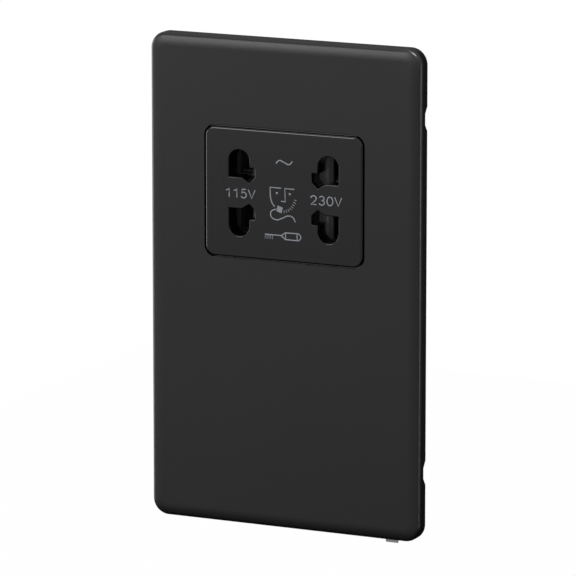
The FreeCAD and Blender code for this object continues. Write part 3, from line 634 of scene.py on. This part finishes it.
@dataclass
class Pen:
    """Draws flat raised lines on a face that looks along Y."""

    origin: Vector
    width: float
    height: float = 0.04 * MM
    mirror: float = 1.0
    lines: list[bpy.types.Object] = field(default_factory=list)

    def line(self, points: Sequence[Point], width: float = 1.0, smooth: bool = False) -> None:
        """Draws one line.

        Args:
            points: Its route, in millimetres from the pen's origin.
            width: Its width, as a share of the pen's.
            smooth: Whether it runs in curves through its points.
        """
        breadth = self.width * width
        curve = bpy.data.curves.new("line", "CURVE")
        curve.dimensions = "3D"
        curve.bevel_depth = breadth / 2
        curve.bevel_resolution = 1
        curve.use_fill_caps = True
        curve.resolution_u = 8
        spline = curve.splines.new("BEZIER" if smooth else "POLY")
        target = spline.bezier_points if smooth else spline.points
        target.add(len(points) - 1)
        for point, (x, z) in zip(target, points):
            place = (x * MM * self.mirror, 0.0, z * MM)
            point.co = place if smooth else (*place, 1.0)
            if smooth:
                point.handle_left_type = "AUTO"
                point.handle_right_type = "AUTO"
        piece = bpy.data.objects.new(f"line_{len(self.lines)}", curve)
        bpy.context.scene.collection.objects.link(piece)
        alone(piece)
        bpy.ops.object.convert(target="MESH")
        piece.scale = (1.0, self.height / breadth, 1.0)
        piece.location = self.origin
        bpy.ops.object.transform_apply(location=True, rotation=True, scale=True)
        self.lines.append(piece)

    def write(self, text: str, left: float, right: float, middle: float, height: float) -> None:
        """Writes plain figures and letters.

        Args:
            text: What is written.
            left: Where the first line's middle stands, in millimetres.
            right: Where the last line's middle stands.
            middle: The height of the text's middle.
            height: The height between the middles of its lowest and highest lines.
        """
        width = sum(ADVANCES[letter] for letter in text[:-1]) + LAST_WIDTHS[text[-1]]
        unit = (right - left) / width
        x = left
        for letter in text:
            for stroke in STROKES[letter]:
                self.line([(x + u * unit, middle + (v - 0.5) * height) for u, v in stroke])
            x += ADVANCES[letter] * unit

    def done(self, name: str) -> bpy.types.Object:
        """Joins all the lines into one piece."""
        return joined(self.lines, name)


# Sub-assemblies


def insert_centre() -> Vector:
    """The middle of the insert's face."""
    low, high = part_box("socket_face")
    return Vector(((low.x + high.x) / 2, low.y, (low.z + high.z) / 2))


def pad_half() -> Vector:
    """Half the width and height of the insert's visible pad, inside its hidden flange."""
    low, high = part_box("socket_face")
    return Vector(((high.x - low.x) / 2 - FLANGE_LAP, 0.0, (high.z - low.z) / 2 - FLANGE_LAP))


@dataclass
class CoverPlate:
    """The metal cover plate: a shallow tray whose face falls away near its rim."""

    corner: float = 5.0 * MM
    corner_steps: int = 14
    crown_width: float = 4.0 * MM
    crown_drop: float = 0.6 * MM
    crown_steps: int = 7
    rim_edge: float = 1.0 * MM
    rim_margin: float = 0.15 * MM
    rim_steps: int = 8
    wall: float = 1.2 * MM
    insert_gap: float = 0.55 * MM
    insert_corner: float = 3.0 * MM
    insert_corner_steps: int = 12
    notch_z: float = 52.8 * MM
    notch_length: float = 7.3 * MM
    notch_flat: float = 3.3 * MM
    notch_depth: float = 1.5 * MM
    edge: float = 0.06 * MM
    edge_angle: float = 40.0

    def crown(self, piece: bpy.types.Object, front: float) -> None:
        """Raises the face in rings, each less steep than the last, and rounds the rim.

        Args:
            piece: The slab, whose face is flat.
            front: The depth of that face.
        """
        rim = front
        first = self.rim_edge + self.rim_margin
        widths = [first] + [(self.crown_width - first) / self.crown_steps] * self.crown_steps
        inset = 0.0
        for width in widths:
            outer = 1 - inset / self.crown_width
            inset += width
            inner = 1 - inset / self.crown_width
            rise = self.crown_drop * (outer ** 2 - inner ** 2)
            with shaping(piece):
                pick(Element.FACE, lambda face, y=front: level(face, y))
                bpy.ops.mesh.inset(thickness=width, depth=rise)
            front -= rise
        with shaping(piece):
            pick(Element.EDGE, lambda edge: level(edge, rim))
            bpy.ops.mesh.bevel(offset=self.rim_edge, segments=self.rim_steps, affect="EDGES",
                               clamp_overlap=False)

    def tray(self) -> bpy.types.Object:
        """The shell, open to the wall, with its crown and rounded rim."""
        low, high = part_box("front_plate")
        front = low.y + self.crown_drop
        piece = rounded_slab("cover_plate", Vector((low.x, front, low.z)), high, self.corner,
                             self.corner_steps)
        self.crown(piece, front)
        with shaping(piece):
            pick(Element.FACE, lambda face: level(face, high.y))
            bpy.ops.mesh.delete(type="FACE")
        apply_modifier(piece, "SOLIDIFY", thickness=self.wall, offset=-1.0, use_even_offset=True,
                       use_rim=True)
        return piece

    def window(self) -> bpy.types.Object:
        """The cutter for the insert's opening."""
        low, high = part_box("front_plate")
        centre = insert_centre()
        half = pad_half()
        grow = self.insert_gap
        return rounded_slab("window_cutter",
                            Vector((-half.x - grow, low.y - MM, centre.z - half.z - grow)),
                            Vector((half.x + grow, high.y + MM, centre.z + half.z + grow)),
                            self.insert_corner + grow, self.insert_corner_steps)

    def notch(self, z: float) -> bpy.types.Object:
        """The cutter for one pair of lever notches in the side rims."""
        low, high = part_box("front_plate")
        half = self.notch_length / 2
        piece = block("notch_cutter", Vector((low.x - MM, high.y - self.notch_depth, z - half)),
                      Vector((high.x + MM, high.y + MM, z + half)))
        # The slopes of the cutter run on past the rim.
        lean = (self.notch_length - self.notch_flat) / 2
        for vertex in piece.data.vertices:
            side = math.copysign(1.0, vertex.co.z - z)
            if vertex.co.y < high.y:
                vertex.co.z -= side * lean
            else:
                vertex.co.z += side * lean * MM / self.notch_depth
        return piece

    def build(self, finish: bpy.types.Material) -> bpy.types.Object:
        """Builds and dresses the plate.

        Args:
            finish: The plate's material.

        Returns:
            The finished piece.
        """
        piece = self.tray()
        carve(piece, self.window())
        for z in (-self.notch_z, self.notch_z):
            carve(piece, self.notch(z))
        soften(piece, self.edge, self.edge_angle)
        paint(piece, finish)
        seat(piece, ["front_plate"])
        return piece


@dataclass
class Insert:
    """The gloss insert with its shaped pin apertures."""

    edge: float = 0.22 * MM
    edge_angle: float = 40.0
    edge_steps: int = 4

    def build(self, nodes: dict[str, bpy.types.Object], finish: bpy.types.Material) -> bpy.types.Object:
        """Builds the insert from the fixed node's form, rounds its lips and flattens its face again.

        Args:
            nodes: The fixed nodes.
            finish: The insert's material.

        Returns:
            The finished piece.
        """
        piece = finer_copy(nodes["socket_face"], "socket_insert")
        front = insert_centre().y
        sharp = math.radians(self.edge_angle)
        with shaping(piece):
            found = pick(Element.EDGE,
                         lambda edge: level(edge, front) and edge.calc_face_angle(0.0) > sharp)
            bpy.ops.mesh.bevel(offset=self.edge, segments=self.edge_steps, affect="EDGES",
                               clamp_overlap=False)
        LOG.info("%d lip edges rounded", found)
        alone(piece)
        bpy.ops.object.shade_smooth_by_angle(angle=SMOOTH_ANGLE)
        with shaping(piece):
            pick(Element.FACE, lambda face: level(face, front))
            bpy.ops.mesh.faces_shade_flat()
            bpy.ops.transform.resize(value=(1.0, 0.0, 1.0), center_override=(0.0, front, 0.0))
        paint(piece, finish)
        seat(piece, ["socket_face"])
        return piece


@dataclass
class PrintedSigns:
    """The grey print on the insert: two voltages, a mains sign, a shaver and a toothbrush."""

    line: float = 0.39 * MM
    figure_height: float = 2.6
    eye_width: float = 1.7
    stubble_width: float = 0.6
    bristle_width: float = 0.42
    collar_width: float = 0.8
    wave_width: float = 1.1
    spans: dict[Voltage, tuple[float, float, float]] = field(
        default_factory=lambda: {Voltage.LOW: (-18.9, -9.2, -0.1), Voltage.HIGH: (8.9, 18.9, -0.25)})

    def voltages(self, pen: Pen) -> None:
        """The figures beside the two columns of apertures."""
        for column, (left, right, middle) in self.spans.items():
            pen.write(column.value, left, right, middle, self.figure_height)

    def shaver(self, pen: Pen) -> None:
        """The sign for shavers only: a face outline, a shaver with its cord, and stubble."""
        pen.line([(-0.7, 2.45), (-4.3, 2.5), (-4.25, 0.4), (-4.1, -0.9), (-3.6, -2.3), (-2.8, -3.2)])
        pen.line([(3.6, 2.4), (0.5, 2.45), (0.65, -1.5), (-0.75, -1.45)])
        for eye in (-2.1, 2.1):
            pen.line([(eye - 0.3, 0.9), (eye + 0.3, 0.9)], self.eye_width)
        for i in range(5):
            share = i / 4
            pen.line([(-1.9 - 0.3 * share, -2.95 - 1.45 * share), (-0.2 - 0.3 * share, -3.45 - 1.4 * share)])
        pen.line([(-2.3, -3.9), (-3.9, -4.7), (-3.9, -6.3), (-2.2, -7.1), (-0.3, -6.5), (1.5, -5.7),
                  (3.1, -6.0), (3.9, -7.3)], smooth=True)
        inner = arc((-0.6, 0.3), (4.2, 4.5), -79, -13, 7)
        outer = arc((-0.6, 0.3), (5.0, 5.3), -79, -13, 7)
        for start, end in zip(inner, outer):
            pen.line([start, end], self.stubble_width)

    def toothbrush(self, pen: Pen) -> None:
        """The sign for toothbrush chargers."""
        pen.line([(-6.0, -11.7), (-0.7, -11.7)])
        for i in range(5):
            x = -5.9 + 0.6 * i
            pen.line([(x, -11.8), (x, -13.0)], self.bristle_width)
        handle = [(-0.7, -11.75), (0.7, -10.8), (4.6, -10.75)]
        pen.line(handle + arc((4.6, -11.8), (1.1, 1.05), 90, -90, 8) + [(0.7, -12.8), (-0.7, -11.75)])
        for x in (0.75, 4.5):
            pen.line([(x, -10.8), (x, -12.8)], self.collar_width)

    def mains(self, pen: Pen) -> None:
        """The sign for alternating current."""
        pen.line([(-2.4, 9.7), (-1.3, 10.7), (0.3, 10.2), (1.9, 9.7), (3.0, 10.7)], self.wave_width,
                 smooth=True)

    def build(self, finish: bpy.types.Material) -> bpy.types.Object:
        """Builds all the print as one piece.

        Args:
            finish: The ink.

        Returns:
            The finished piece.
        """
        pen = Pen(insert_centre(), self.line)
        self.voltages(pen)
        self.shaver(pen)
        self.toothbrush(pen)
        self.mains(pen)
        piece = pen.done("printed_signs")
        paint(piece, finish)
        seat(piece)
        return piece


@dataclass
class RearMouldings:
    """The housing, the terminal block and what shows on them from behind."""

    housing_edge: float = 0.3 * MM
    block_edge: float = 0.22 * MM
    seal_edge: float = 0.08 * MM
    pillar_edge: float = 0.12 * MM
    mark_line: float = 0.34 * MM
    mark_relief: float = 0.3 * MM
    mark_sink: float = 0.1 * MM
    mark_height: float = 2.0
    mark_drop: float = 3.9
    half_l: float = 0.6
    half_n: float = 0.75
    earth_stem: float = 1.0
    earth_bars: tuple[float, ...] = (1.1, 0.7, 0.3)
    earth_bar_step: float = 0.55
    terminal_pitch: float = 12.5

    def rounded(self, nodes: dict[str, bpy.types.Object], node: str, name: str, edge: float,
                finish: bpy.types.Material) -> bpy.types.Object:
        """A finer piece in place of a fixed node, with its edges rounded.

        Args:
            nodes: The fixed nodes.
            node: The one that is replaced.
            name: The new piece's name.
            edge: The width of the rounding.
            finish: The material.

        Returns:
            The finished piece.
        """
        piece = finer_copy(nodes[node], name)
        soften(piece, edge)
        paint(piece, finish)
        seat(piece, [node])
        return piece

    def marks(self, finish: bpy.types.Material) -> None:
        """Raised letters under the clamp screws: live, earth and neutral."""
        low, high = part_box("terminal_block")
        origin = Vector((0.0, high.y - self.mark_sink, (low.z + high.z) / 2))
        pen = Pen(origin, self.mark_line, self.mark_relief, mirror=-1.0)
        pitch = self.terminal_pitch
        pen.write("L", pitch - self.half_l, pitch + self.half_l, -self.mark_drop, self.mark_height)
        pen.write("N", -pitch - self.half_n, -pitch + self.half_n, -self.mark_drop, self.mark_height)
        top = -self.mark_drop + self.mark_height / 2
        bottom = top - self.earth_stem
        pen.line([(0.0, top), (0.0, bottom)])
        for i, half in enumerate(self.earth_bars):
            height = bottom - self.earth_bar_step * i
            pen.line([(-half, height), (half, height)])
        piece = pen.done("terminal_marks")
        paint(piece, finish)
        seat(piece)

    def build(self, nodes: dict[str, bpy.types.Object], dressing: "Dressing") -> None:
        """Builds all of them.

        Args:
            nodes: The fixed nodes.
            dressing: The finishes.
        """
        plastic = dressing.finish("housing_plastic")
        self.rounded(nodes, "rear_housing", "housing_moulding", self.housing_edge,
                     plastic)
        self.rounded(nodes, "terminal_block", "terminal_moulding", self.block_edge,
                     plastic)
        self.rounded(nodes, "wall_gasket", "wall_seal", self.seal_edge, dressing.finish("gasket"))
        for pole in ("live", "earth", "neutral"):
            self.rounded(nodes, f"{pole}_terminal", f"{pole}_pillar", self.pillar_edge,
                         dressing.finish("brass"))
        self.marks(plastic)


@dataclass
class Fasteners:
    """The screws that show from behind, with the recesses that drive them."""

    recess_depth: float = 0.8 * MM
    recess_reach: float = 1.35 * MM
    recess_half: float = 0.3 * MM
    head_radius: float = 2.4 * MM
    head_edge: float = 0.16 * MM
    clamp_edge: float = 0.1 * MM

    def strap_screws(self, nodes: dict[str, bpy.types.Object], finish: bpy.types.Material) -> None:
        """The two pan-head screws of the core strap, each with a cross recess."""
        low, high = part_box("strap_screws")
        piece = finer_copy(nodes["strap_screws"], "cross_head_screws")
        middle = (low.z + high.z) / 2
        for x in (low.x + self.head_radius, high.x - self.head_radius):
            for reach_x, reach_z in ((self.recess_reach, self.recess_half),
                                     (self.recess_half, self.recess_reach)):
                carve(piece, block("recess_cutter",
                                   Vector((x - reach_x, high.y - self.recess_depth, middle - reach_z)),
                                   Vector((x + reach_x, high.y + MM, middle + reach_z))))
        soften(piece, self.head_edge)
        paint(piece, finish)
        seat(piece, ["strap_screws"])

    def clamp_screws(self, nodes: dict[str, bpy.types.Object], finish: bpy.types.Material) -> None:
        """The three slotted clamp screws of the terminals."""
        piece = finer_copy(nodes["terminal_screws"], "slotted_clamp_screws")
        soften(piece, self.clamp_edge)
        paint(piece, finish)
        seat(piece, ["terminal_screws"])


@dataclass
class Dressing:
    """The finishes of the fixed nodes, by their slots."""

    finishes: dict[str, Finish] = field(default_factory=lambda: {
        "plate_paint": PowderCoat(),
        "insert_gloss": Moulding("gloss_black_moulding", (0.0022, 0.0022, 0.0032), (0.07, 0.12), 0.35,
                                 900.0, 0.0008 * MM),
        "frame_plastic": Moulding("black_frame_moulding", (0.028, 0.028, 0.029)),
        "gasket": FoamSeal(),
        "spring_steel": Metal("bright_spring_steel", (0.62, 0.62, 0.62), (0.45, 0.44, 0.42)),
        # The contacts' bronze is painted far darker than bare bronze, as painted shade deep inside the pin
        # apertures.
        "contact_bronze": Metal("oxidised_bronze", (0.13, 0.11, 0.09), (0.06, 0.05, 0.045), (0.35, 0.5)),
        "brass": Metal("turned_brass", (0.78, 0.57, 0.25), (0.55, 0.38, 0.15)),
        "shutter_plastic": Moulding("smooth_shutter_moulding", (0.10, 0.10, 0.104), (0.16, 0.26)),
        "carrier_plastic": Moulding("dark_grey_moulding", (0.05, 0.05, 0.052)),
        "actuator_plastic": Moulding("natural_nylon", (0.52, 0.49, 0.40), (0.3, 0.42)),
        "switch_plastic": Moulding("switch_case_moulding", (0.02, 0.02, 0.023), (0.25, 0.36)),
        "housing_plastic": Moulding("black_housing_moulding", (0.025, 0.025, 0.027)),
        "lamination": Laminations(),
        "bobbin_plastic": Moulding("bobbin_nylon", (0.58, 0.55, 0.46), (0.35, 0.48)),
        "copper": Winding(),
        "strap_steel": Metal("zinc_plated_strap", (0.6, 0.61, 0.62), (0.42, 0.42, 0.4)),
        "screw_steel": Metal("zinc_plated_screws", (0.62, 0.61, 0.58), (0.44, 0.42, 0.36)),
        "cutout_case": Moulding("phenolic_case", (0.16, 0.045, 0.025), (0.3, 0.42)),
    })
    made: dict[str, bpy.types.Material] = field(default_factory=dict)

    def finish(self, slot: str) -> bpy.types.Material:
        """The material of a slot, made once."""
        if slot not in self.made:
            self.made[slot] = self.finishes[slot].make()
        return self.made[slot]

    def dress(self, frame: dict[str, Any]) -> None:
        """Gives every fixed node the finish of its slot."""
        for part in frame["record"]["subparts"]:
            paint(frame["nodes"][part["node"]], self.finish(part["material_slot"]))
            LOG.info("node %s has %s", part["node"], part["material_slot"])


# Studio


def stand(name: str, data: bpy.types.ID, place: Vector, back: Vector) -> bpy.types.Object:
    """Stands a lamp or a camera in the scene.

    Args:
        name: Its name.
        data: Its own data.
        place: Where it stands.
        back: The direction from what it faces towards it.

    Returns:
        The new object.
    """
    item = bpy.data.objects.new(name, data)
    item.location = place
    item.rotation_mode = "QUATERNION"
    item.rotation_quaternion = back.to_track_quat("Z", "Y")
    bpy.context.scene.collection.objects.link(item)
    return item


@dataclass(frozen=True)
class Lamp:
    """A soft square lamp that faces the plate, for all pieces or for only some."""

    name: str
    place: Place
    power: float
    size: float
    only: tuple[str, ...] = ()

    def light(self) -> None:
        """Sets up the lamp."""
        data = bpy.data.lights.new(self.name, "AREA")
        data.energy = self.power
        data.size = self.size
        lamp = stand(self.name, data, Vector(self.place), Vector(self.place))
        if self.only:
            lit = bpy.data.collections.new(f"lit_by_{self.name}")
            for piece in self.only:
                lit.objects.link(bpy.data.objects[piece])
            lamp.light_linking.receiver_collection = lit


@dataclass(frozen=True)
class CornerSpot:
    """A narrow lamp that puts a glint on the plate's upper right corner."""

    name: str = "corner_spot"
    place: Place = (0.148, -0.387, 0.52)
    inward: Place = (-2.6 * MM, 0.0, -1.2 * MM)
    power: float = 23.0
    spread: float = 0.65
    source: float = 3.0 * MM

    def light(self) -> None:
        """Sets up the lamp."""
        low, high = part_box("front_plate")
        data = bpy.data.lights.new(self.name, "SPOT")
        data.energy = self.power
        data.spot_size = math.radians(self.spread)
        data.spot_blend = 1.0
        data.shadow_soft_size = self.source
        target = Vector((high.x, low.y, high.z)) + Vector(self.inward)
        stand(self.name, data, Vector(self.place), Vector(self.place) - target)


@dataclass
class Studio:
    """The floor, the soft lights and the camera."""

    azimuth: float = 25.24
    elevation: float = 11.41
    distance: float = 1.5354
    focal_pixels: float = 5200.0
    frame_pixels: float = 576.0
    sensor: float = 36.0
    aim_right: float = 1.21 * MM
    aim_up: float = -0.32 * MM
    floor_drop: float = 0.16
    floor_size: float = 14.0
    floor_glow: float = 1.02
    floor_glow_share: float = 0.97
    ambient: float = 0.56
    mat_low: Point = (-0.5, -0.3)
    mat_high: Point = (0.8, 0.9)
    mat_lift: float = 2.0 * MM
    screen_size: Point = (1.4, 1.6)
    screen_tones: Point = (0.16, 0.02)
    screen_place: Place = (0.05, 0.95, 0.15)
    lights: tuple[Lamp | CornerSpot, ...] = (
        Lamp("key_lamp", (-1.3, -2.35, 0.62), 19.3, 0.75),
        Lamp("top_lamp", (-0.3, -0.5, 1.3), 2.35, 0.7),
        Lamp("left_lamp", (-0.8, -0.1, 0.0), 3.4, 0.46, only=("cover_plate", "socket_insert")),
        Lamp("fill_lamp", (-0.8, -0.1, 0.0), 1.4, 0.46),
        Lamp("rim_lamp", (0.9, -0.35, -0.1), 1.8, 0.24, only=("cover_plate",)),
        CornerSpot(),
    )

    def camera(self) -> None:
        """The camera, at the photograph's viewing angle."""
        low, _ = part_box("front_plate")
        turn = math.radians(self.azimuth)
        rise = math.radians(self.elevation)
        back = Vector((math.sin(turn) * math.cos(rise), -math.cos(turn) * math.cos(rise), math.sin(rise)))
        right = Vector((math.cos(turn), math.sin(turn), 0.0))
        up = back.cross(right)
        target = Vector((0.0, low.y, 0.0)) + right * self.aim_right + up * self.aim_up
        data = bpy.data.cameras.new("camera")
        data.sensor_width = self.sensor
        data.lens = self.focal_pixels / self.frame_pixels * self.sensor
        data.clip_start = 0.05
        data.clip_end = 60.0
        bpy.context.scene.camera = stand("camera", data, target + back * self.distance, back)

    def world(self) -> None:
        """A world that is white to the camera and to gloss, and dimmer as a light."""
        world = bpy.data.worlds.new("studio_world")
        world.use_nodes = True
        tree = world.node_tree
        tree.nodes.clear()
        path = tree.nodes.new("ShaderNodeLightPath")
        seen = tree.nodes.new("ShaderNodeMath")
        seen.operation = "MAXIMUM"
        tree.links.new(path.outputs["Is Camera Ray"], seen.inputs[0])
        tree.links.new(path.outputs["Is Transmission Ray"], seen.inputs[1])
        either = tree.nodes.new("ShaderNodeMath")
        either.operation = "MAXIMUM"
        tree.links.new(seen.outputs[0], either.inputs[0])
        tree.links.new(path.outputs["Is Glossy Ray"], either.inputs[1])
        strength = tree.nodes.new("ShaderNodeMapRange")
        strength.inputs["To Min"].default_value = self.ambient
        strength.inputs["To Max"].default_value = 1.0
        tree.links.new(either.outputs[0], strength.inputs["Value"])
        background = tree.nodes.new("ShaderNodeBackground")
        background.inputs["Color"].default_value = WHITE
        tree.links.new(strength.outputs[0], background.inputs["Strength"])
        output = tree.nodes.new("ShaderNodeOutputWorld")
        tree.links.new(background.outputs[0], output.inputs["Surface"])
        bpy.context.scene.world = world

    def floor(self) -> None:
        """A pale floor that is near white to the camera and keeps a faint shadow."""
        low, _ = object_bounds()
        bpy.ops.object.select_all(action="DESELECT")
        bpy.ops.mesh.primitive_plane_add(size=self.floor_size, location=(0, 0, low.z - self.floor_drop))
        floor = bpy.context.object
        floor.name = "studio_floor"
        recipe = Recipe("pale_floor")
        recipe.set(Base_Color=(0.8, 0.8, 0.8, 1.0), Roughness=0.9, Specular_IOR_Level=0.1)
        path = recipe.node("ShaderNodeLightPath", result="Is Camera Ray")
        matt = Flow(recipe, recipe.shader.outputs["BSDF"])
        glow = recipe.node("ShaderNodeEmission", inputs={"Color": WHITE, "Strength": self.floor_glow})
        mixed = recipe.node("ShaderNodeMixShader",
                            inputs={0: path * self.floor_glow_share, 1: matt, 2: glow})
        recipe.feed(recipe.output.inputs["Surface"], mixed)
        paint(floor, recipe.material)
        floor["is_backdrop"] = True

    def hidden_board(self, name: str, place: Sequence[float], size: Point, upright: bool,
                     tone: float) -> None:
        """A board that the camera and the shadows pass by, for gloss to show.

        Args:
            name: The board's name.
            place: Its middle.
            size: Its width and its height or depth.
            upright: Whether it stands or lies.
            tone: How bright it looks, from 0 to 1.
        """
        bpy.ops.object.select_all(action="DESELECT")
        turn = (math.radians(90), 0.0, 0.0) if upright else (0.0, 0.0, 0.0)
        bpy.ops.mesh.primitive_plane_add(size=1.0, location=place, rotation=turn)
        board = bpy.context.object
        board.name = name
        board.scale = (*size, 1.0)
        recipe = Recipe(f"{name}_cloth")
        recipe.set(Base_Color=(0.01, 0.01, 0.01, 1.0), Roughness=1.0, Specular_IOR_Level=0.0,
                   Emission_Color=WHITE, Emission_Strength=tone)
        paint(board, recipe.material)
        board.visible_camera = False
        board.visible_shadow = False
        board.visible_diffuse = not upright
        board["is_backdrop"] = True

    def boards(self) -> None:
        """A dark board under the part, with a grey and a dark screen behind it."""
        low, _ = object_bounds()
        middle = [(a + b) / 2 for a, b in zip(self.mat_low, self.mat_high)]
        size = (self.mat_high[0] - self.mat_low[0], self.mat_high[1] - self.mat_low[1])
        top = low.z - self.floor_drop + self.mat_lift
        self.hidden_board("studio_mat", (*middle, top), size, False, 0.0)
        x, y, z = self.screen_place
        half = self.screen_size[0] / 2
        for side, tone, name in zip((-1, 1), self.screen_tones, ("grey", "dark")):
            self.hidden_board(f"studio_{name}_screen", (x + side * half, y, z), self.screen_size, True, tone)

    def build(self) -> None:
        """Sets up the whole studio."""
        self.camera()
        self.world()
        self.floor()
        self.boards()
        for light in self.lights:
            light.light()
        bpy.context.scene.view_settings.view_transform = "Standard"


def main() -> None:
    """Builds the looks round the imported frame."""
    logging.basicConfig(level=logging.INFO, format="%(message)s")
    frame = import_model()
    dressing = Dressing()
    dressing.dress(frame)
    nodes = frame["nodes"]
    CoverPlate().build(dressing.finish("plate_paint"))
    Insert().build(nodes, dressing.finish("insert_gloss"))
    PrintedSigns().build(PadInk().make())
    RearMouldings().build(nodes, dressing)
    fasteners = Fasteners()
    fasteners.strap_screws(nodes, dressing.finish("screw_steel"))
    fasteners.clamp_screws(nodes, dressing.finish("screw_steel"))
    Studio().build()


if __name__ == "__main__":
    main()
